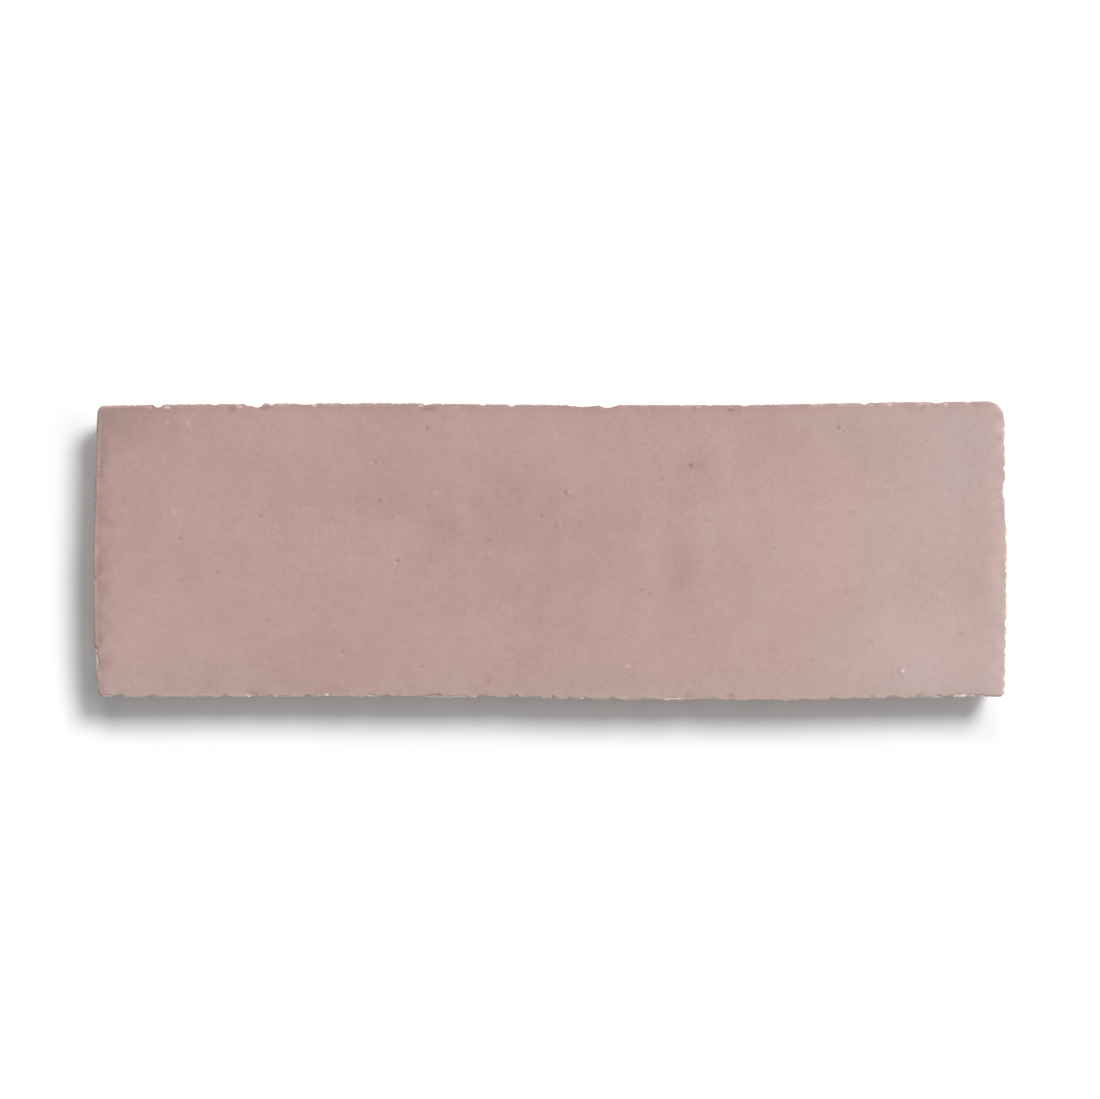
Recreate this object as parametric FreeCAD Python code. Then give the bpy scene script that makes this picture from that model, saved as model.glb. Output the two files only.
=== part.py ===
import FreeCAD, Part
import math
import os

# A hand-cut glazed wall tile in the long "subway" format, as one fired clay solid.
#
# The tile lies on its back with its glazed face up. X runs along its length and
# Y across its width, and the origin is on the back, under the middle of the face.
# The face is gently wavy. The four sides were trimmed by hand, so they wander and
# lean in towards the back, and the trimming left a bevel along the glazed edge, nips
# in the outline and flake scars. All sizes are in millimetres.

# Driving dimensions
LENGTH = 200.0          # nominal face length, along X
WIDTH = 65.0            # nominal face width, along Y
THICKNESS = 10.0        # back to the mean level of the face
BACK_INSET = 2.4        # each side leans in this far from face to back
EDGE_BEVEL = 0.45       # bevel along the edge of the glazed face
BACK_BEVEL = 0.4        # bevel round the back

# Waves of the hand-pressed face
WAVE_HEIGHT = 0.22      # swing of the face above and below its mean level
WAVE_LENGTH_X = 74.0    # crest to crest along the tile
WAVE_LENGTH_Y = 96.0    # crest to crest across the tile
WAVE_POINTS = 6         # points that the surface is fitted through in each wave

# Corner radii, named as the face is seen with its long side level
CORNER_RADIUS = {
    "lower_left": 1.8,
    "lower_right": 1.0,
    "upper_right": 4.3,     # knocked off further than the other three
    "upper_left": 1.8,
}

# How far each side stands out from its straight nominal line, at even stations.
# The long sides run left to right, the short ones from the lower end to the upper.
SIDE_WANDER = {
    "lower": [-0.10, 0.02, -0.15, 0.00, 0.23, 0.70, 0.78, 0.25, -0.20],
    "upper": [-0.50, -0.12, 0.05, 0.02, -0.22, -0.24, -0.18, 0.28, 0.40],
    "left": [-0.15, 0.66, 0.67, 0.28, -0.18],
    "right": [0.20, 0.55, 0.72, 0.38, 0.15],
}

# Nips in the outline: (share of the way along the side, width, depth)
NIPS = {
    "lower": [
        (0.024, 3.0, 1.05), (0.123, 1.8, 0.40), (0.140, 2.2, 0.45), (0.178, 3.2, 0.40),
        (0.232, 2.0, 0.38), (0.262, 2.2, 0.45), (0.279, 2.2, 0.40), (0.296, 1.6, 0.35),
        (0.324, 3.2, 0.52), (0.347, 2.2, 0.50), (0.430, 6.2, 0.82), (0.444, 2.4, 0.48),
        (0.520, 2.2, 0.38), (0.542, 2.2, 0.42), (0.569, 4.0, 0.58), (0.618, 3.5, 0.50),
        (0.649, 3.4, 0.35), (0.661, 1.4, 0.50), (0.725, 3.2, 0.62), (0.750, 2.2, 0.35),
        (0.779, 2.6, 0.42), (0.810, 2.7, 0.80), (0.836, 2.4, 0.35), (0.872, 2.4, 0.36),
        (0.971, 2.4, 0.42),
    ],
    "upper": [
        (0.068, 2.3, 0.75), (0.130, 1.8, 0.38), (0.168, 2.4, 0.68), (0.177, 3.0, 1.05),
        (0.193, 1.4, 0.55), (0.231, 5.2, 0.42), (0.275, 3.4, 0.25), (0.365, 2.6, 0.35),
        (0.381, 0.9, 0.30), (0.425, 1.6, 0.42), (0.457, 2.0, 0.62), (0.523, 2.4, 0.50),
        (0.537, 7.4, 0.56), (0.563, 5.2, 0.74), (0.713, 2.2, 0.45), (0.845, 2.2, 0.52),
        (0.925, 3.0, 0.52), (0.959, 1.1, 0.36),
    ],
    "left": [
        (0.122, 5.8, 1.25), (0.628, 3.6, 0.62),
    ],
    "right": [
        (0.068, 1.4, 0.34), (0.103, 1.3, 0.42), (0.160, 1.6, 0.36), (0.204, 1.4, 0.40),
        (0.251, 1.9, 0.60), (0.330, 1.8, 0.30), (0.360, 1.6, 0.52), (0.394, 1.6, 0.36),
        (0.427, 1.2, 0.48), (0.538, 3.0, 0.40), (0.648, 11.0, 0.85), (0.697, 6.4, 1.15),
        (0.772, 1.2, 0.50), (0.864, 2.6, 0.32), (0.945, 1.8, 0.42),
    ],
}
NIP_RUN = 4.2           # how far down the side a nip fades out

# Flake scars that face upwards from the edge, given in the same way
FLAKES = {
    "lower": [
        (0.062, 5.5, 0.75), (0.110, 3.2, 0.80), (0.168, 1.7, 1.15), (0.199, 2.6, 0.90),
        (0.255, 1.9, 1.10), (0.302, 2.2, 0.95), (0.372, 5.0, 0.80), (0.455, 3.6, 0.80),
        (0.500, 2.8, 0.75), (0.596, 4.4, 0.85), (0.634, 5.2, 1.00), (0.679, 4.6, 1.10),
        (0.753, 3.4, 0.85), (0.853, 2.4, 0.85), (0.890, 1.2, 1.10), (0.926, 2.2, 0.90),
        (0.950, 4.2, 0.85),
    ],
    "upper": [
        (0.060, 1.4, 0.95), (0.079, 1.5, 1.15), (0.158, 2.4, 1.00), (0.240, 2.0, 0.75),
        (0.318, 1.6, 0.65), (0.358, 1.8, 0.85), (0.663, 1.8, 0.90), (0.699, 2.2, 0.95),
        (0.853, 1.2, 0.90), (0.874, 1.0, 1.05), (0.907, 2.6, 0.80), (0.936, 1.6, 0.95),
    ],
    "left": [
        (0.168, 2.0, 1.00), (0.415, 3.2, 0.75), (0.700, 2.4, 0.70),
    ],
    "right": [
        (0.030, 1.8, 0.80), (0.290, 2.2, 0.70), (0.476, 2.6, 0.70), (0.905, 1.6, 0.80),
    ],
}
FLAKE_TILT = 38.0       # degrees that a scar's inner rim faces upwards
CUT_CLEAR = 1.5         # how far the cutting shapes reach past the clay

# Each side: its start corner and end corner in half sizes, and its outward direction
SIDES = {
    "lower": ((-1, -1), (1, -1), (0, -1)),
    "right": ((1, -1), (1, 1), (1, 0)),
    "upper": ((-1, 1), (1, 1), (0, 1)),
    "left": ((-1, -1), (-1, 1), (-1, 0)),
}
UP = FreeCAD.Vector(0, 0, 1)


def face_height(x, y):
    """Height of the wavy face over a place on the tile."""
    along = 2 * math.pi * x / WAVE_LENGTH_X
    across = 2 * math.pi * y / WAVE_LENGTH_Y
    return THICKNESS + WAVE_HEIGHT * math.sin(along + across) * math.cos(across - along / 2)


def lean_at(height):
    """How far the sides lie inside the nominal outline at a height."""
    return BACK_INSET * (1 - height / THICKNESS)


def corner_point(x_sign, y_sign, height):
    """Where two sides meet at a height, before the corner is rounded."""
    long_side = "upper" if y_sign > 0 else "lower"
    short_side = "right" if x_sign > 0 else "left"
    x_out = SIDE_WANDER[short_side][-1 if y_sign > 0 else 0]
    y_out = SIDE_WANDER[long_side][-1 if x_sign > 0 else 0]
    return FreeCAD.Vector(
        x_sign * (LENGTH / 2 + x_out - lean_at(height)),
        y_sign * (WIDTH / 2 + y_out - lean_at(height)),
        height,
    )


def side_edge(side, height):
    """One wandering side of the outline, as a smooth curve between its two corners."""
    start_signs, end_signs, outward = SIDES[side]
    start = corner_point(*start_signs, height)
    end = corner_point(*end_signs, height)
    nominal = outward[0] * LENGTH / 2 + outward[1] * WIDTH / 2
    last = len(SIDE_WANDER[side]) - 1
    points = [start]
    for station in range(1, last):
        point = start + (end - start) * (station / last)
        stand_out = SIDE_WANDER[side][station] - lean_at(height)
        if outward[0]:
            point.x = outward[0] * (abs(nominal) + stand_out)
        else:
            point.y = outward[1] * (abs(nominal) + stand_out)
        points.append(point)
    points.append(end)
    curve = Part.BSplineCurve()
    curve.interpolate(points)
    return curve.toShape()


def outline(height):
    """The closed outline of the four sides at a height."""
    return Part.Wire(Part.__sortEdges__([side_edge(side, height) for side in SIDES]))


def wave_stations(size, wave_length):
    """Even stations from one end of the face to the other, and a little past both."""
    half = size / 2 + BACK_INSET + CUT_CLEAR
    steps = math.ceil(2 * half / wave_length * WAVE_POINTS)
    return [half * (2 * step / steps - 1) for step in range(steps + 1)]


def wavy_cut():
    """Everything above the face: a block whose underside is the wavy surface."""
    rows = []
    for x in wave_stations(LENGTH, WAVE_LENGTH_X):
        stations = wave_stations(WIDTH, WAVE_LENGTH_Y)
        rows.append([FreeCAD.Vector(x, y, face_height(x, y)) for y in stations])
    surface = Part.BSplineSurface()
    surface.interpolate(rows)
    return surface.toShape().extrude(UP * (2 * WAVE_HEIGHT + 2 * CUT_CLEAR))


def blank():
    """The trimmed tile with sharp edges: leaning sides under a wavy face."""
    top = THICKNESS + WAVE_HEIGHT + CUT_CLEAR
    block = Part.makeLoft([outline(0), outline(top)], True, True)
    for name, radius in CORNER_RADIUS.items():
        y_sign = 1 if name.startswith("upper") else -1
        x_sign = 1 if name.endswith("right") else -1
        foot = corner_point(x_sign, y_sign, 0)
        edge = min(block.Edges, key=lambda e: edge_distance(e, foot, corner_point(x_sign, y_sign, top)))
        block = block.makeFillet(radius, [edge])
    return block.cut(wavy_cut())


def edge_distance(edge, start, end):
    """How far an edge's two ends lie from two given points."""
    ends = [vertex.Point for vertex in edge.Vertexes]
    if len(ends) < 2:
        return math.inf
    forward = ends[0].distanceToPoint(start) + ends[1].distanceToPoint(end)
    backward = ends[1].distanceToPoint(start) + ends[0].distanceToPoint(end)
    return min(forward, backward)


def bevelled_blank():
    """The blank with the edges of its face and its back broken."""
    block = blank()
    face = max(block.Faces, key=lambda f: f.CenterOfMass.z)
    block = block.makeChamfer(EDGE_BEVEL, face.OuterWire.Edges)
    back = min(block.Faces, key=lambda f: f.CenterOfMass.z)
    return block.makeChamfer(BACK_BEVEL, back.OuterWire.Edges)


def edge_place(side, share):
    """A point on the face's edge, and the outward direction there."""
    edge = side_edge(side, THICKNESS)
    parameter = edge.getParameterByLength(share * edge.Length)
    point = edge.valueAt(parameter)
    point.z = face_height(point.x, point.y)
    along = edge.tangentAt(parameter)
    outward = along.cross(UP)
    if outward.dot(FreeCAD.Vector(*SIDES[side][2], 0)) < 0:
        outward = outward * -1
    return point, outward.normalize()


def bite_radius(width, depth):
    """Radius of the arc that is this wide and this deep."""
    return (width ** 2 / 4 + depth ** 2) / (2 * depth)


def nip_cutter(side, share, width, depth):
    """A cone that leans with the side and bites into the outline, most at the face."""
    point, outward = edge_place(side, share)
    up_side = (UP * THICKNESS + outward * BACK_INSET).normalize()
    square_out = (outward * THICKNESS - UP * BACK_INSET).normalize()
    radius = bite_radius(width, depth)
    foot_radius = radius - depth
    head_radius = radius + depth * CUT_CLEAR / NIP_RUN
    foot = point + square_out * foot_radius - up_side * NIP_RUN
    return Part.makeCone(foot_radius, head_radius, NIP_RUN + CUT_CLEAR, foot, up_side)


def flake_cutter(side, share, width, depth):
    """A ball that scoops a shell-shaped scar out of the edge, facing up and outwards."""
    point, outward = edge_place(side, share)
    rim_radius = bite_radius(width, depth)
    tilt = math.radians(FLAKE_TILT)
    radius = rim_radius / math.cos(tilt)
    centre = point + outward * (rim_radius - depth) + UP * (radius * math.sin(tilt))
    return Part.makeSphere(radius, centre, outward)


def tile():
    """The finished tile: the bevelled blank with its nips and flakes knocked off."""
    cutters = []
    for side in SIDES:
        cutters += [nip_cutter(side, *nip) for nip in NIPS[side]]
        cutters += [flake_cutter(side, *flake) for flake in FLAKES[side]]
    return bevelled_blank().cut(cutters)


def main():
    os.makedirs("parts", exist_ok=True)
    shape = tile()
    box = shape.optimalBoundingBox()
    print("solids", len(shape.Solids), "valid", shape.isValid(), "volume", round(shape.Volume, 1))
    print("size", round(box.XLength, 2), round(box.YLength, 2), round(box.ZLength, 2))
    shape.exportStep("parts/tile.step")


main()
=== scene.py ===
import bmesh
import bpy
import math
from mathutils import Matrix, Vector, noise
from mathutils.bvhtree import BVHTree


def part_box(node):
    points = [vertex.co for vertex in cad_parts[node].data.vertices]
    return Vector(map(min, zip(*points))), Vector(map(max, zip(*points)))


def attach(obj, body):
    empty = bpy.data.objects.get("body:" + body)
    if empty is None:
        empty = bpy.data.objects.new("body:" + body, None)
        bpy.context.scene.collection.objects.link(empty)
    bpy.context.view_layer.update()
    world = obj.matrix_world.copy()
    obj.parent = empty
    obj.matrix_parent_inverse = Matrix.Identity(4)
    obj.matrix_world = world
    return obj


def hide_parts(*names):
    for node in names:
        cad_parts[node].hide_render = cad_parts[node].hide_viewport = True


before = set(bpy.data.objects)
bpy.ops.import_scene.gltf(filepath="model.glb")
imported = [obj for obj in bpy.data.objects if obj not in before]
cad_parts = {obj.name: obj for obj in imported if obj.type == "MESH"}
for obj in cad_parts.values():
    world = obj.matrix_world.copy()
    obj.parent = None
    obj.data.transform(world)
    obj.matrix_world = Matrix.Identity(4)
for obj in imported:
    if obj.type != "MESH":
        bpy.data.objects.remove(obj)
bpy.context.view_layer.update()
mm = 0.001
print("frame loaded:", ", ".join(sorted(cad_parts)))


# The tile: a plain block of squares, cast onto the solid and then worn.
# Places and sizes in its lists of chips, patches, scars and spots are plain millimetres.

tile = {
    "node": "tile",
    "piece": "glazed_tile",

    # The block of squares
    "backCell": 2.0 * mm,            # squares of the back
    "sideRows": 5,                   # rows of squares down each side
    "faceBand": 1.0 * mm,            # this near the top of the block is the face
    "faceReach": 6.0 * mm,           # the face and this much of the sides get half squares
    "edgeReaches": (4.0 * mm, 1.7 * mm, 0.6 * mm),      # each band along the edge halves them again
    "spotReaches": (4.0, 3.0),       # so does each ring round a pinhole or pimple, in radii
    "coreInset": (5.5 * mm, 5.5 * mm, 3.2 * mm),        # inner box that the surface is cast from
    "levelLeast": 0.001 * mm,        # a shorter level step from that box is none
    "sharpAngle": math.radians(40),
    "facing": 0.7,                   # a face that turns this far towards a side belongs to it
    "flatGap": 2.0 * mm,             # gap between the sides where they are laid out flat

    # The edge as it was before it was nipped and flaked
    "bevel": 0.45 * mm,
    "sideProbes": (2.0 * mm, 5.0 * mm),     # heights below every nip
    "faceProbes": (4.5 * mm, 2.5 * mm),     # distances from the edge, inside every flake

    # How far down from the face the glaze covers each side: (middle, swing)
    "glazeLine": {
        "lower": (0.14 * mm, 0.45 * mm),
        "upper": (1.00 * mm, 0.85 * mm),
        "left": (0.35 * mm, 0.60 * mm),
        "right": (0.30 * mm, 0.45 * mm),
    },
    "glazeLeast": 0.05 * mm,         # it covers this much everywhere
    "glazeSoft": 0.30 * mm,          # over this height its lower line blurs
    "freshDepth": 0.22 * mm,         # clay this far below the old edge is bare
    "upperKeeps": 0.45,              # how much less of it is bare along the upper edge
    "bareMost": 1.6,
    "bareBelow": 0.7,                # under this share of the height everything is bare

    # How thin the glaze runs along each edge: (reach inwards, strength)
    "thinEdges": {
        "lower": (1.8 * mm, 1.20),
        "upper": (0.9 * mm, 0.15),
        "left": (1.7 * mm, 0.95),
        "right": (1.2 * mm, 1.00),
    },
    "wornSpan": (0.42 * mm, 1.12 * mm),     # the rim is rubbed dull: (wholly to, none from)

    # Fresh pale chips along the lower edge, their near-white partly painted glints: (x, half width,
    # strength)
    "chipsAndGlints": [
        (-66.5, 0.35, 0.9), (-60.4, 0.35, 0.6), (-49.4, 0.45, 0.5), (-39.8, 0.40, 0.6),
        (-30.5, 0.60, 0.9), (14.1, 0.65, 0.9), (26.4, 2.60, 0.9), (35.5, 0.90, 0.4),
        (78.0, 0.30, 0.6), (85.5, 0.50, 0.5), (91.1, 2.20, 1.0),
    ],
    "chipSlant": 1.2,                # how far a chip slants along the edge on its way inwards
    "chipSpan": (0.275 * mm, 0.825 * mm),   # how far in a chip reaches: (wholly to, none from)
    "chipLip": 0.12 * mm,            # a chip opens over this depth
    "chipRun": 1.2 * mm,             # and stays pale this far down
    "chipBare": 1.3,
    "shelfRise": 0.8,                # share of its depth that a chip's floor lies higher
    "shelfSpan": (0.4 * mm, 1.2 * mm),      # down to these depths: (wholly, none)
    "paleLitRim": 0.60,                 # how pale the lower rim is between the chips: pale clay lifted further as painted light
    "paleRun": 1.5 * mm,

    # Uneven floors of flakes, ledges in nips and small notches
    "fillSpan": (0.21 * mm, 0.56 * mm),     # flakes this deep are filled up unevenly: (wholly, none)
    "steep": 0.4,                    # the wall of a nip turns up less than this
    "ledge": 0.42 * mm,              # how far the floor of a nip steps out below the face
    "ledgeSoft": 0.4 * mm,
    "ledgeTop": 0.25 * mm,
    "ledgeRun": 3.0 * mm,
    "ledgeLower": 0.2,               # share of it along the lower edge
    "ledgePale": 0.8,
    "bite": 0.75 * mm,               # the deepest small notch along the rim
    "biteCoarse": 0.60,
    "biteFine": 0.80,
    "biteUpper": -0.3,               # how much more or less the upper rim is notched
    "biteLower": 1.4,                # and the lower rim
    "scallop": 1.10 * mm,            # the deepest broad notch along the lower rim
    "biteReach": 1.3 * mm,           # notches fade out this far in from the rim
    "biteRun": 2.6 * mm,             # and this far down the side
    "clayRough": 0.07 * mm,          # grit of the bare clay
    "crumb": 0.10 * mm,              # the deepest crumb lost along a bare edge
    "crumbRun": 2.5 * mm,
    "ripple": 0.035 * mm,            # ripple of the glaze

    # Chance spread of all this: (middle, swing, size, seed, least, most)
    "mottles": {
        "glazeRun": (0.0, 0.65, 5.0 * mm, 3.0, -1.0, 1.0),
        "glazeDrip": (0.0, 0.55, 1.6 * mm, 7.0, -1.0, 1.0),
        "brokenGlaze": (1.0, 1.0, 2.5 * mm, 41.0, 0.0, 2.0),
        "thinGlaze": (0.7, 0.9, 2.2 * mm, 53.0, -0.2, 1.0),
        "chipGrain": (0.85, 0.8, 0.6 * mm, 71.0, 0.0, 1.0),
        "filled": (0.35, 1.2, 0.9 * mm, 59.0, 0.0, 0.8),
        "ragged": (0.65, 1.4, 8.0 * mm, 67.0, 0.15, 1.2),
        "coarseBite": (-0.05, 1.0, 1.9 * mm, 43.0, 0.0, 1.0),
        "fineBite": (-0.10, 1.0, 0.7 * mm, 47.0, 0.0, 1.0),
        "scallop": (0.0, 1.0, 3.2 * mm, 83.0, 0.0, 1.0),
        "edgeTone": (0.8, 1.1, 2.6 * mm, 61.0, -0.3, 1.9),
        "driftX": (0.0, 2.2, 9.0 * mm, 11.0, -2.2, 2.2),
        "driftY": (0.0, 2.2, 9.0 * mm, 17.0, -2.2, 2.2),
        "coarseGrit": (0.5, 0.5, 0.7 * mm, 23.0, 0.0, 1.0),
        "fineGrit": (0.0, 0.35, 0.35 * mm, 29.0, -1.0, 1.0),
        "ripple": (0.5, 0.5, 13.0 * mm, 31.0, 0.0, 1.0),
    },

    # Soft patches of the glaze: (x, y, half width, half height, lighter or darker, greyer or pinker); the
    # dark grey patch at the top-left corner is painted shade
    "patches": [
        (28.6, -1.0, 2.6, 14.0, -0.30, 0.0), (22.0, -1.0, 2.4, 11.0, 0.25, 0.0),
        (-24.2, 5.0, 3.0, 5.0, -0.28, 0.1), (-35.0, 12.0, 8.0, 5.0, -0.18, -0.1),
        (-18.7, 9.6, 1.8, 7.0, 0.20, 0.0), (-7.0, 12.0, 9.0, 7.0, -0.16, -0.1),
        (30.8, 18.6, 3.0, 3.0, -0.25, 0.0), (45.0, -19.0, 3.0, 4.0, 0.22, 0.0),
        (84.0, -22.0, 16.0, 9.0, 0.30, 0.1), (-97.0, 29.0, 10.0, 7.0, -0.60, 0.35),
        (-93.0, -19.0, 8.0, 7.0, 0.18, 0.0), (-78.0, -28.0, 12.0, 3.5, -0.20, 0.3),
        (8.0, -28.0, 8.0, 3.0, -0.15, 0.3), (68.0, 22.0, 7.0, 5.0, -0.15, 0.2),
        (88.0, 20.0, 12.0, 14.0, 0.10, 0.2), (60.0, 5.0, 10.0, 14.0, 0.08, -0.15),
        (-91.0, -30.0, 8.0, 3.5, 0.12, 0.05),
    ],
    "paleEnd": (5.0, 80.0, 0.40),    # lighter towards the right end: (from x, to x, how much)
    "greyEnd": (45.0, 85.0, 0.35),   # and greys

    # Painted shade at the rim, darker brown where chipped glaze edges lie in shade: (x, y, half width,
    # half height, strength)
    "scars": [
        (-25.5, -31.9, 3.2, 0.35, 1.5), (30.6, -32.4, 1.6, 0.6, 0.9), (39.9, -32.2, 1.0, 0.6, 1.2),
        (-64.5, -31.5, 1.6, 0.7, 0.7), (-33.3, -31.8, 0.6, 0.5, 1.2), (-14.2, -31.2, 0.3, 0.3, 1.2),
        (81.6, -31.7, 0.8, 0.5, 0.8), (95.0, -31.7, 0.7, 0.4, 1.2), (-69.8, 31.2, 0.6, 0.6, 1.2),
        (-62.8, 31.5, 1.2, 0.4, 1.2), (-26.7, 31.3, 1.4, 0.5, 1.0), (39.8, 31.1, 0.9, 0.6, 1.0),
        (31.8, 31.4, 0.6, 0.4, 0.9), (-99.2, 16.8, 0.5, 0.7, 1.0),
    ],

    # Tone along the sides of the box: (side, reach inwards, lighter or darker, greyer or pinker). The
    # darker left band is painted shade, the lighter right band painted light, and the lower band is
    # slightly darker and greyer.
    "edgeShadeLightAndTone": [
        ("lower", 5.5 * mm, -0.14, 0.42),
        ("left", 3.2 * mm, -0.95, 0.38),
        ("right", 3.2 * mm, 0.85, -0.15),
    ],
    # The same along the rim itself: the darker upper rim and band are painted shade, the lighter left rim
    # painted light
    "rimShadeAndLight": [
        ("upper", 0.6 * mm, -1.70, 0.8),
        ("upper", 1.9 * mm, -0.22, -0.10),
        ("left", 0.35 * mm, 1.20, 0.8),
    ],

    # Pinholes in the glaze, darker the deeper they are: dark specks with painted shade in the hollow: (x,
    # y, radius, depth)
    "pinholes": [
        (-27.1, 26.8, 0.42, 0.20), (-30.8, 21.9, 0.30, 0.10), (-38.5, 19.5, 0.34, 0.26),
        (-37.7, 10.9, 0.38, 0.20), (-34.8, 7.4, 0.55, 0.07), (-63.8, 7.6, 0.42, 0.18),
        (-81.4, 2.6, 0.50, 0.14), (-73.3, -4.9, 0.38, 0.12), (-33.7, -2.3, 0.38, 0.30),
        (3.3, 12.7, 0.40, 0.22), (-2.0, 7.6, 0.36, 0.18), (1.3, 5.6, 0.40, 0.10),
        (-13.7, 2.3, 0.36, 0.16), (30.8, 18.6, 0.62, 0.24), (24.4, 15.5, 0.34, 0.16),
        (20.0, -8.7, 0.36, 0.16), (63.3, 27.0, 0.42, 0.18), (82.7, 24.3, 0.34, 0.04),
        (49.2, 0.6, 0.32, 0.12), (90.2, -18.3, 0.36, 0.12), (-45.8, -22.3, 0.36, 0.20),
        (-28.2, -25.6, 0.36, 0.18), (-13.7, -28.7, 0.40, 0.16), (-62.1, -15.3, 0.30, 0.10),
    ],
    # Pimples, paler the taller they are: pale specks with a painted highlight on the bump: (x, y, radius,
    # height)
    "pimples": [
        (-83.0, 8.5, 0.60, 0.10), (-25.3, 12.5, 0.55, 0.06), (-27.5, 7.2, 0.40, 0.06),
        (-13.5, -0.5, 0.60, 0.06), (58.7, 9.4, 0.40, 0.06), (86.0, -10.2, 0.50, 0.08),
        (77.4, -26.7, 0.42, 0.22), (74.3, -26.9, 0.36, 0.06), (60.9, -24.1, 0.50, 0.07),
        (16.9, -25.6, 0.60, 0.09), (-79.7, 27.9, 0.55, 0.08), (-84.3, 28.1, 0.50, 0.08),
        (4.1, 12.7, 0.42, 0.10), (2.2, 5.4, 0.42, 0.07),
    ],
    # How each kind shows: (layer, list, lift, colour at no depth, colour for each mm, tightness)
    "spotKinds": [
        ("pit", "pinholes", -0.6, 0.25, 3.5, 1.35),
        ("speck", "pimples", 1.0, 0.0, 4.0, 1.4),
    ],
    "spotEnd": 3.0,                  # radii at which a spot has faded out
    "spotAbove": 0.8,                # spots touch only what lies above this share of the height
}


def softStep(value):
    value = min(max(value, 0.0), 1.0)
    return value * value * (3 - 2 * value)


def fadeOut(distance, span):
    wholeTo, noneFrom = span
    return softStep((noneFrom - distance) / (noneFrom - wholeTo))


def mottle(point, name):
    middle, swing, size, seed, least, most = tile["mottles"][name]
    chance = noise.noise(Vector((point.x / size, point.y / size, point.z / size + seed)))
    return min(max(middle + swing * chance, least), most)


def sideShares(out):
    return {
        "lower": max(0.0, -out.y) ** 2,
        "upper": max(0.0, out.y) ** 2,
        "left": max(0.0, -out.x) ** 2,
        "right": max(0.0, out.x) ** 2,
    }


def rimDistance(point, low, high):
    inwards = min(point.x - low.x, high.x - point.x, point.y - low.y, high.y - point.y)
    return inwards + high.z - point.z


def edgesWithin(bm, reach, low, high):
    return [e for e in bm.edges if all(rimDistance(v.co, low, high) < reach for v in e.verts)]


def faceEdges(bm, high):
    return [e for e in bm.edges if all(v.co.z > high.z - tile["faceBand"] for v in e.verts)]


def halve(bm, edges):
    bmesh.ops.subdivide_edges(bm, edges=edges, cuts=1, use_grid_fill=True)


def squaredBlock(low, high):
    size = high - low
    middle = (low + high) / 2
    bm = bmesh.new()
    bmesh.ops.create_grid(
        bm, size=0.5,
        x_segments=round(size.x / tile["backCell"]),
        y_segments=round(size.y / tile["backCell"]))
    bmesh.ops.scale(bm, vec=(size.x, size.y, 1), verts=bm.verts)
    bmesh.ops.translate(bm, vec=(middle.x, middle.y, low.z), verts=bm.verts)
    raised = bmesh.ops.extrude_face_region(bm, geom=bm.faces[:])
    top = [g for g in raised["geom"] if isinstance(g, bmesh.types.BMVert)]
    bmesh.ops.translate(bm, vec=(0, 0, size.z), verts=top)
    bmesh.ops.recalc_face_normals(bm, faces=bm.faces)
    uprights = [e for e in bm.edges if abs(e.verts[0].co.z - e.verts[1].co.z) > size.z / 2]
    bmesh.ops.subdivide_edges(bm, edges=uprights, cuts=tile["sideRows"] - 1)
    return bm


def refine(bm, low, high):
    first = set(faceEdges(bm, high) + edgesWithin(bm, tile["faceReach"], low, high))
    halve(bm, [e for e in bm.edges if e in first])      # in the mesh's own order on every run
    for reach in tile["edgeReaches"]:
        halve(bm, edgesWithin(bm, reach, low, high))
    spots = []
    for x, y, radius, lift in tile["pinholes"] + tile["pimples"]:
        spots.append((Vector((x, y, high.z / mm)) * mm, radius * mm))
    for radii in tile["spotReaches"]:
        near = []
        for edge in faceEdges(bm, high):
            middle = (edge.verts[0].co + edge.verts[1].co) / 2
            if any((middle - spot).length < radius * radii for spot, radius in spots):
                near.append(edge)
        halve(bm, near)


def corePoint(point, low, high):
    inset = Vector(tile["coreInset"])
    inner = low + inset
    outer = high - inset
    return Vector(min(max(point[axis], inner[axis]), outer[axis]) for axis in range(3))


def reachOut(surface, start, way):
    hit = surface.ray_cast(start, way.normalized())
    return hit if hit[0] else surface.find_nearest(start + way)


# How far a point lies inside the old side and below the old face
def edgeMeasures(surface, core, out, point):
    lowSide, highSide = tile["sideProbes"]
    levelOut = []
    for height in tile["sideProbes"]:
        start = Vector((core.x, core.y, height))
        levelOut.append((reachOut(surface, start, out)[0] - start).dot(out))
    lean = (levelOut[1] - levelOut[0]) / (highSide - lowSide)
    sideOut = levelOut[1] + lean * (point.z - highSide)
    faceZ = []
    for inside in tile["faceProbes"]:
        start = core + out * (sideOut - inside)
        start.z = core.z
        faceZ.append(reachOut(surface, start, Vector((0, 0, 1)))[0].z)
    pointOut = (point - core).dot(out)
    farProbe, nearProbe = tile["faceProbes"]
    slope = (faceZ[1] - faceZ[0]) / (farProbe - nearProbe)
    faceLevel = faceZ[1] + slope * (pointOut - (sideOut - nearProbe))
    return sideOut - pointOut, faceLevel - point.z


def lostDepth(inside, below):
    return max(0.0, min(inside, below, (inside + below - tile["bevel"]) / math.sqrt(2)))


def chipped(point, out, inside):
    white = 0.0
    if out.y < -tile["facing"]:
        slanted = (point.x - tile["chipSlant"] * inside) / mm
        for x, halfWidth, strength in tile["chipsAndGlints"]:
            white = max(white, strength * math.exp(-((slanted - x) / halfWidth) ** 4))
    return white * fadeOut(inside, tile["chipSpan"]) * mottle(point, "chipGrain")


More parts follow.
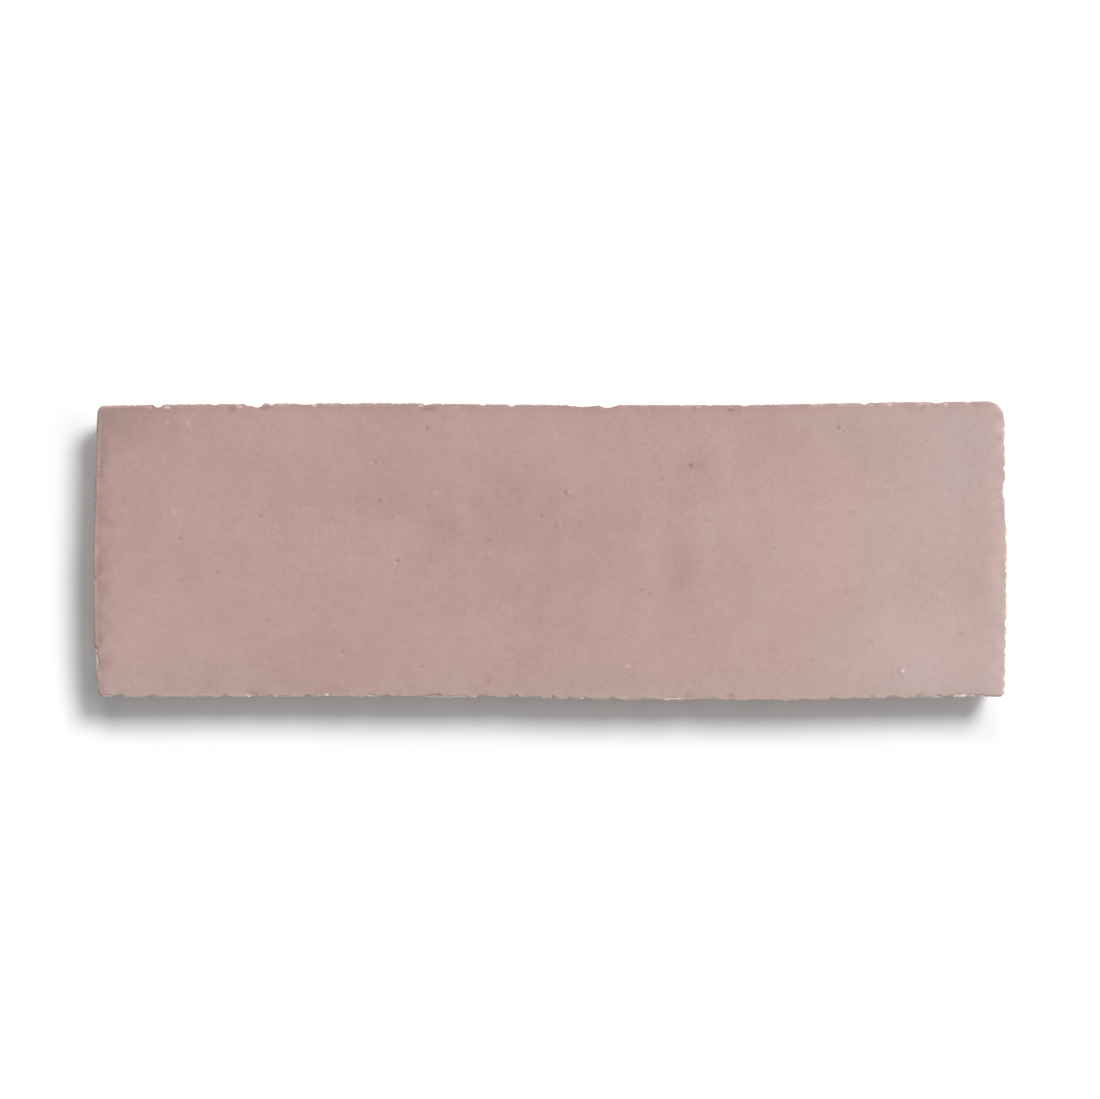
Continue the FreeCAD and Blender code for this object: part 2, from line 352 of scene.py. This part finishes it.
def bareness(point, out, inside, below):
    run = mottle(point, "glazeRun") + mottle(point, "glazeDrip")
    cover = 0.0
    for side, share in sideShares(out).items():
        middle, swing = tile["glazeLine"][side]
        cover += share * (middle + swing * run)
    worn = 0.5 + (below - max(cover, tile["glazeLeast"])) / tile["glazeSoft"]
    broken = lostDepth(inside, below) / tile["freshDepth"] * mottle(point, "brokenGlaze")
    fresh = broken * (1 - tile["upperKeeps"] * max(0.0, out.y))
    opened = tile["chipBare"] * chipped(point, out, inside) * softStep(below / tile["chipLip"])
    return min(max(worn, fresh, opened, 0.0), tile["bareMost"])


# Near-white clay at the chips, partly painted glints, and a paler lower rim, partly painted light
def paleClayAndLight(point, out, inside, below):
    lip = softStep(below / tile["chipLip"]) * softStep(1 - below / tile["chipRun"])
    rim = softStep(1 - inside / tile["bevel"]) * softStep(1 - below / tile["paleRun"])
    return max(chipped(point, out, inside) * lip, tile["paleLitRim"] * rim * max(0.0, -out.y))


def thinness(point, out, inside):
    thin = 0.0
    for side, share in sideShares(out).items():
        reach, strength = tile["thinEdges"][side]
        thin += share * strength * softStep(1 - inside / reach)
    return thin * mottle(point, "thinGlaze")


def bandTone(point, bands, distances, shares):
    tone = 0.0
    grey = 0.0
    for side, reach, lighter, greyer in bands:
        weight = shares[side] * math.exp(-(distances[side] / reach) ** 2)
        tone += lighter * weight * mottle(point, "edgeTone")
        grey += greyer * weight
    return tone, grey


# Painted shade and painted light along the rim
def rimShadeAndLightAt(point, out, inside):
    shares = sideShares(out)
    return bandTone(point, tile["rimShadeAndLight"], dict.fromkeys(shares, max(0.0, inside)), shares)


def faceTone(point, low, high):
    inwards = {
        "lower": point.y - low.y,
        "upper": high.y - point.y,
        "left": point.x - low.x,
        "right": high.x - point.x,
    }
    tone, grey = bandTone(point, tile["edgeShadeLightAndTone"], inwards, dict.fromkeys(inwards, 1.0))
    x = point.x / mm + mottle(point, "driftX")
    y = point.y / mm + mottle(point, "driftY")
    for px, py, halfWidth, halfHeight, lighter, greyer in tile["patches"]:
        weight = math.exp(-((x - px) / halfWidth) ** 2 - ((y - py) / halfHeight) ** 2)
        tone += lighter * weight
        grey += greyer * weight
    # Painted shade at chipped rim edges
    for px, py, halfWidth, halfHeight, strength in tile["scars"]:
        away = ((point.x / mm - px) / halfWidth) ** 2 + ((point.y / mm - py) / halfHeight) ** 2
        tone -= strength * math.exp(-away)
    paleFrom, paleTo, paler = tile["paleEnd"]
    greyFrom, greyTo, greyer = tile["greyEnd"]
    tone += paler * softStep((x - paleFrom) / (paleTo - paleFrom))
    grey += greyer * softStep((x - greyFrom) / (greyTo - greyFrom))
    return tone, grey


def shelf(point, out, inside, below):
    rise = tile["shelfRise"] * chipped(point, out, inside)
    return rise * max(0.0, below) * fadeOut(below, tile["shelfSpan"])


def ledge(out, inside, below):
    nipped = softStep((inside - tile["bevel"]) / tile["ledgeSoft"])
    share = out.x ** 2 + tile["ledgeLower"] * max(0.0, -out.y)
    return nipped * share * softStep(below / tile["ledgeTop"]) * softStep(1 - below / tile["ledgeRun"])


def notch(point, out, inside, below):
    small = tile["biteCoarse"] * mottle(point, "coarseBite")
    small += tile["biteFine"] * mottle(point, "fineBite")
    share = 1 + tile["biteUpper"] * max(0.0, out.y) + tile["biteLower"] * max(0.0, -out.y)
    deep = tile["bite"] * small * mottle(point, "ragged") * share
    deep += tile["scallop"] * mottle(point, "scallop") * max(0.0, -out.y)
    return deep * softStep(1 - inside / tile["biteReach"]) * softStep(1 - below / tile["biteRun"])


def paintEdge(vert, layers, point, out, inside, below):
    vert[layers["bare"]] = bareness(point, out, inside, below)
    vert[layers["fresh"]] = paleClayAndLight(point, out, inside, below)
    vert[layers["thin"]] = thinness(point, out, inside)
    vert[layers["worn"]] = fadeOut(inside, tile["wornSpan"])
    vert[layers["tone"]], vert[layers["grey"]] = rimShadeAndLightAt(point, out, inside)


def wearEdge(vert, layers, point, turned, out, inside, below):
    lost = lostDepth(inside, below)
    filled = mottle(point, "filled") * lost * fadeOut(lost, tile["fillSpan"])
    rise = (out + Vector((0, 0, 1))) / math.sqrt(2)
    point = point + rise * filled
    point.z += shelf(point, out, inside, below - rise.z * filled)
    if abs(turned.z) < tile["steep"] and inside > tile["bevel"]:
        step = ledge(out, inside, below)
        point = point + out * (tile["ledge"] * step)
        vert[layers["fresh"]] = max(vert[layers["fresh"]], tile["ledgePale"] * step)
    return point - out * notch(point, out, inside, below)


def castBlock(bm, surface, low, high):
    names = ("bare", "fresh", "thin", "worn", "tone", "grey", "pit", "speck")
    layers = {name: bm.verts.layers.float.new(name) for name in names}
    for vert in bm.verts:
        core = corePoint(vert.co, low, high)
        way = vert.co - core
        out = Vector((way.x, way.y, 0))
        point, turned = reachOut(surface, core, way)[:2]
        if out.length > tile["levelLeast"] and point.z > high.z / 2:
            out.normalize()
            inside, below = edgeMeasures(surface, core, out, point)
            paintEdge(vert, layers, point, out, inside, below)
            point = wearEdge(vert, layers, point, turned, out, inside, below)
        elif point.z < high.z * tile["bareBelow"]:
            vert[layers["bare"]] = 1.0
        if way.z > 0:
            tone, grey = faceTone(point, low, high)
            vert[layers["tone"]] += tone
            vert[layers["grey"]] += grey
        vert.co = point
    return layers


def spotFace(bm, layers, high):
    for layer, kind, lift, least, gain, tight in tile["spotKinds"]:
        for x, y, radius, depth in tile[kind]:
            colour = min(1.0, least + gain * depth)
            for vert in bm.verts:
                away = math.hypot(vert.co.x - x * mm, vert.co.y - y * mm) / (radius * mm)
                if away < tile["spotEnd"] and vert.co.z > high.z * tile["spotAbove"]:
                    vert.co.z += lift * depth * mm * math.exp(-away ** 2)
                    shown = colour * math.exp(-(away * tight) ** 2)
                    vert[layers[layer]] = max(vert[layers[layer]], shown)


def roughen(bm, layers, high):
    bm.normal_update()
    for vert in bm.verts:
        bare = softStep(vert[layers["bare"]])
        grit = max(0.0, mottle(vert.co, "coarseGrit") + mottle(vert.co, "fineGrit"))
        nearEdge = softStep(1 - (high.z - vert.co.z) / tile["crumbRun"])
        deep = tile["clayRough"] + (tile["crumb"] - tile["clayRough"]) * nearEdge
        vert.co -= vert.normal * (bare * deep * grit)
        if vert.normal.z > tile["facing"]:
            vert.co.z -= tile["ripple"] * mottle(vert.co, "ripple") * (1 - bare)


def facingOf(normal):
    if abs(normal.z) > tile["facing"]:
        return "face" if normal.z > 0 else "back"
    if abs(normal.y) > tile["facing"]:
        return "upper" if normal.y > 0 else "lower"
    return "right" if normal.x > 0 else "left"


# The UV map: face, back and long sides in rows, and the two ends side by side in the last row
def layFlat(bm, low, high, facing):
    size = high - low
    gap = tile["flatGap"]
    scale = 1 / (size.x + 2 * gap)
    sideRow = 2 * (size.y + gap)
    endRow = sideRow + 2 * (size.z + gap)
    rows = {
        "face": 0, "back": size.y + gap,
        "lower": sideRow, "upper": sideRow + size.z + gap,
        "left": endRow, "right": endRow,
    }
    uv = bm.loops.layers.uv.new("OFBake")
    for face in bm.faces:
        side = facing[face.index]
        for loop in face.loops:
            x, y, z = loop.vert.co - low
            u, v = {
                "face": (x, y), "back": (x, y), "lower": (x, z), "upper": (x, z),
                "left": (y, z), "right": (y + size.y + gap, z),
            }[side]
            loop[uv].uv = ((u + gap) * scale, (v + gap + rows[side]) * scale)


def makeTile():
    low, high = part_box(tile["node"])
    surface = BVHTree.FromObject(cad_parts[tile["node"]], bpy.context.evaluated_depsgraph_get())
    bm = squaredBlock(low, high)
    refine(bm, low, high)
    bm.normal_update()
    bm.faces.index_update()
    facing = [facingOf(face.normal) for face in bm.faces]
    print("block squared:", len(bm.faces), "faces")
    layers = castBlock(bm, surface, low, high)
    spotFace(bm, layers, high)
    roughen(bm, layers, high)
    layFlat(bm, low, high, facing)
    mesh = bpy.data.meshes.new(tile["piece"])
    bm.to_mesh(mesh)
    bm.free()
    mesh.polygons.foreach_set("use_smooth", [True] * len(mesh.polygons))
    mesh.set_sharp_from_angle(angle=tile["sharpAngle"])
    piece = bpy.data.objects.new(tile["piece"], mesh)
    bpy.context.scene.collection.objects.link(piece)
    mesh.calc_loop_triangles()
    print("tile modelled:", len(mesh.loop_triangles), "triangles")
    return piece


# The finish: a satin glaze over pale clay

glaze = {
    "dark": (0.3786, 0.234, 0.1987, 1),
    "light": (0.6143, 0.437, 0.3974, 1),
    "pit": (0.32, 0.20, 0.17, 1),
    "speck": (0.72, 0.58, 0.53, 1),
    "thin": (0.525, 0.368, 0.285, 1),
    "roughness": 0.27,
    "wornRough": 0.75,               # how far the worn rim goes towards the clay's roughness
    "clouds": [                      # (swing, size, detail)
        (0.45, 18.0 * mm, 5.0), (0.40, 4.0 * mm, 3.0), (0.45, 1.6 * mm, 2.0), (0.90, 0.42 * mm, 2.0),
    ],
    "streaks": (0.25, 6.0 * mm, 2.0),
    "streakScale": (1.0, 0.3, 1.0),  # draws the streaks out across the tile
    "toneSwing": 0.5,                # from dark to light
    "toneMiddle": 0.45,
    "greyCloud": (0.8, 15.0 * mm, 5.0, 0.6),     # (swing, size, detail, roughness)
    "greySwing": 0.30,
    "thinNoise": (0.9 * mm, 3.0),    # (size, detail)
    "thinRange": (0.30, 0.62, 0.35, 1.0),        # (from, to, least, most)
    "dotNoise": (1.5 * mm, 1.0),     # tiny dark dots
    "dotRange": (0.71, 0.80, 0.0, 0.25),
    "peelNoise": (1.6 * mm, 2.0),    # its fine relief
    "peel": 0.25,
}
clay = {
    "peach": (0.53, 0.385, 0.315, 1),
    "cream": (0.66, 0.54, 0.465, 1),
    # near-white of broken clay, also painted glints at the chips and painted light along the lower rim
    "fresh": (0.93, 0.84, 0.78, 1),
    "spot": (0.16, 0.09, 0.06, 1),
    "roughness": 0.88,
    "sandNoise": (1.1 * mm, 4.0, 0.6),           # (size, detail, roughness)
    "blotchNoise": (4.5 * mm, 3.0),
    "creamRange": (0.75, 1.25),
    "spotNoise": (1.3 * mm, 1.0),
    "spotRange": (0.70, 0.78),
    "fray": (0.7, 0.5 * mm, 3.0, 0.6),           # frays the glaze line: (swing, size, detail, roughness)
    "bareRange": (0.44, 0.58),
    "bumpStrength": 0.6,
    "bumpHeight": 0.15 * mm,
}


def addNode(tree, kind, **values):
    node = tree.nodes.new(kind)
    for name, value in values.items():
        if hasattr(node, name):
            setattr(node, name, value)
        else:
            node.inputs[name.replace("_", " ")].default_value = value
    return node


def feed(tree, socket, value):
    if isinstance(value, (int, float, tuple)):
        socket.default_value = value
    else:
        tree.links.new(value, socket)


def addMath(tree, operation, *values):
    node = addNode(tree, "ShaderNodeMath", operation=operation)
    for socket, value in zip(node.inputs, values):
        feed(tree, socket, value)
    return node.outputs[0]


def addMix(tree, share, first, second):
    node = addNode(tree, "ShaderNodeMix", data_type="RGBA")
    for socket, value in zip((node.inputs[0], node.inputs[6], node.inputs[7]), (share, first, second)):
        feed(tree, socket, value)
    return node.outputs[2]


def addRange(tree, value, low, high, newLow=0.0, newHigh=1.0):
    node = addNode(
        tree, "ShaderNodeMapRange", interpolation_type="SMOOTHSTEP",
        From_Min=low, From_Max=high, To_Min=newLow, To_Max=newHigh)
    feed(tree, node.inputs["Value"], value)
    return node.outputs[0]


def addNoise(tree, coords, size, detail, roughness=0.5):
    node = addNode(tree, "ShaderNodeTexNoise", Scale=1 / size, Detail=detail, Roughness=roughness)
    feed(tree, node.inputs["Vector"], coords)
    return node.outputs["Fac"]


def addCloud(tree, coords, swing, size, detail, roughness=0.5):
    level = addMath(tree, "SUBTRACT", addNoise(tree, coords, size, detail, roughness), 0.5)
    return addMath(tree, "MULTIPLY", level, swing)


def addAttribute(tree, name):
    return addNode(tree, "ShaderNodeAttribute", attribute_name=name).outputs["Fac"]


def glazeColour(tree, coords):
    stretch = addNode(tree, "ShaderNodeMapping", Scale=glaze["streakScale"])
    feed(tree, stretch.inputs["Vector"], coords)
    streaks = addCloud(tree, stretch.outputs[0], *glaze["streaks"])
    # tone carries the glaze's patches together with painted shade and light along the edges, rim and
    # chips
    tone = addMath(tree, "ADD", addAttribute(tree, "tone"), streaks)
    for cloud in glaze["clouds"]:
        tone = addMath(tree, "ADD", tone, addCloud(tree, coords, *cloud))
    share = addMath(tree, "MULTIPLY_ADD", tone, glaze["toneSwing"], glaze["toneMiddle"])
    greyer = addMath(tree, "ADD", addAttribute(tree, "grey"), addCloud(tree, coords, *glaze["greyCloud"]))
    hue = addNode(tree, "ShaderNodeHueSaturation")
    feed(tree, hue.inputs["Color"], addMix(tree, share, glaze["dark"], glaze["light"]))
    feed(tree, hue.inputs["Saturation"],
         addMath(tree, "SUBTRACT", 1.0, addMath(tree, "MULTIPLY", greyer, glaze["greySwing"])))
    patchy = addRange(tree, addNoise(tree, coords, *glaze["thinNoise"]), *glaze["thinRange"])
    thin = addMath(tree, "MULTIPLY", addAttribute(tree, "thin"), patchy)
    colour = addMix(tree, thin, hue.outputs[0], glaze["thin"])
    # pale specks with painted highlight on the pimples
    colour = addMix(tree, addAttribute(tree, "speck"), colour, glaze["speck"])
    # dark specks with painted shade in the pinholes
    colour = addMix(tree, addAttribute(tree, "pit"), colour, glaze["pit"])
    dots = addRange(tree, addNoise(tree, coords, *glaze["dotNoise"]), *glaze["dotRange"])
    return addMix(tree, dots, colour, glaze["pit"])


def clayColour(tree, coords, sand):
    blotch = addNoise(tree, coords, *clay["blotchNoise"])
    pale = addRange(tree, addMath(tree, "ADD", sand, blotch), *clay["creamRange"])
    colour = addMix(tree, pale, clay["peach"], clay["cream"])
    spots = addRange(tree, addNoise(tree, coords, *clay["spotNoise"]), *clay["spotRange"])
    colour = addMix(tree, spots, colour, clay["spot"])
    # near-white clay at chips and the lower rim: partly painted glints and painted light
    return addMix(tree, addAttribute(tree, "fresh"), colour, clay["fresh"])


def glazedClay():
    material = bpy.data.materials.new("glazed_clay")
    material.use_nodes = True
    tree = material.node_tree
    shader = tree.nodes["Principled BSDF"]
    coords = addNode(tree, "ShaderNodeTexCoord").outputs["Object"]
    sand = addNoise(tree, coords, *clay["sandNoise"])
    # Where the clay is bare, with a frayed line
    frayed = addMath(tree, "ADD", addAttribute(tree, "bare"), addCloud(tree, coords, *clay["fray"]))
    bare = addRange(tree, frayed, *clay["bareRange"])
    colour = addMix(tree, bare, glazeColour(tree, coords), clayColour(tree, coords, sand))
    feed(tree, shader.inputs["Base Color"], colour)
    worn = addMath(tree, "MULTIPLY", addAttribute(tree, "worn"), glaze["wornRough"])
    dull = addMath(tree, "MAXIMUM", bare, worn)
    roughness = addRange(tree, dull, 0.0, 1.0, glaze["roughness"], clay["roughness"])
    feed(tree, shader.inputs["Roughness"], roughness)
    # Relief too fine for the mesh
    peel = addMath(tree, "MULTIPLY", addNoise(tree, coords, *glaze["peelNoise"]), glaze["peel"])
    grit = addMath(tree, "MULTIPLY", sand, bare)
    bump = addNode(tree, "ShaderNodeBump", Strength=clay["bumpStrength"], Distance=clay["bumpHeight"])
    feed(tree, bump.inputs["Height"], addMath(tree, "ADD", peel, grit))
    feed(tree, shader.inputs["Normal"], bump.outputs[0])
    print("glaze and clay mixed")
    return material


# The stage: a white floor under a dim sky, a main sun, two weaker ones beside it and a low fill

stage = {
    "floorReach": 5.0,
    "floorSides": 64,
    "floorDrop": 0.02 * mm,          # keeps the floor clear of the tile's back
    "floorColour": (0.98, 0.98, 0.98, 1),
    "horizonColour": (1.0, 1.0, 1.0, 1),
    "horizonRange": (0.06, 0.30),    # rise over which the horizon turns into sky
    "skyColour": (0.118, 0.129, 0.143, 1),
    "suns": [                        # (name, from, strength, width in degrees, colour)
        ("key", (6.2, 7.0, 10.0), 2.75, 24, (1, 1, 1)),
        ("key_right", (10.1, 1.3, 10.0), 0.44, 24, (1, 1, 1)),
        ("key_upper", (0.0, 11.2, 10.0), 0.61, 24, (1, 1, 1)),
        ("fill", (3.8, -9.1, 1.6), 0.45, 20, (0.90, 0.97, 1.0)),
    ],
    "lens": 180,
    "sensor": 36,
    "viewWidth": 242 * mm,           # what the picture shows at the height of the face
    "aim": (-0.04 * mm, 0.24 * mm),
    "aimHeight": 10 * mm,
}


def makeFloor():
    bm = bmesh.new()
    bmesh.ops.create_circle(bm, cap_ends=True, segments=stage["floorSides"], radius=stage["floorReach"])
    bmesh.ops.translate(bm, vec=(0, 0, -stage["floorDrop"]), verts=bm.verts)
    mesh = bpy.data.meshes.new("floor")
    bm.to_mesh(mesh)
    bm.free()
    floor = bpy.data.objects.new("floor", mesh)
    bpy.context.scene.collection.objects.link(floor)
    paper = bpy.data.materials.new("white_paper")
    paper.use_nodes = True
    shader = paper.node_tree.nodes["Principled BSDF"]
    shader.inputs["Base Color"].default_value = stage["floorColour"]
    shader.inputs["Roughness"].default_value = 1.0
    shader.inputs["Specular IOR Level"].default_value = 0.0
    mesh.materials.append(paper)
    print("floor laid")


def makeSky():
    world = bpy.data.worlds.new("studio")
    world.use_nodes = True
    bpy.context.scene.world = world
    tree = world.node_tree
    split = addNode(tree, "ShaderNodeSeparateXYZ")
    feed(tree, split.inputs[0], addNode(tree, "ShaderNodeTexCoord").outputs["Generated"])
    height = addRange(tree, split.outputs["Z"], *stage["horizonRange"])
    colour = addMix(tree, height, stage["horizonColour"], stage["skyColour"])
    feed(tree, tree.nodes["Background"].inputs["Color"], colour)
    print("sky set")


def makeSuns():
    for name, source, strength, width, colour in stage["suns"]:
        light = bpy.data.lights.new(name, "SUN")
        light.energy = strength
        light.color = colour
        light.angle = math.radians(width)
        lamp = bpy.data.objects.new(name, light)
        lamp.rotation_euler = Vector(source).to_track_quat("Z", "Y").to_euler()
        bpy.context.scene.collection.objects.link(lamp)
    print("suns lit:", len(stage["suns"]))


def makeCamera():
    data = bpy.data.cameras.new("camera")
    data.lens = stage["lens"]
    data.sensor_width = stage["sensor"]
    camera = bpy.data.objects.new("camera", data)
    distance = stage["viewWidth"] * stage["lens"] / stage["sensor"]
    camera.location = (*stage["aim"], stage["aimHeight"] + distance)
    bpy.context.scene.collection.objects.link(camera)
    bpy.context.scene.camera = camera
    print("camera set")


body = makeTile()
body.data.materials.append(glazedClay())
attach(body, "root")
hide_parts(tile["node"])
makeFloor()
makeSky()
makeSuns()
makeCamera()
bpy.context.scene.view_settings.view_transform = "Standard"
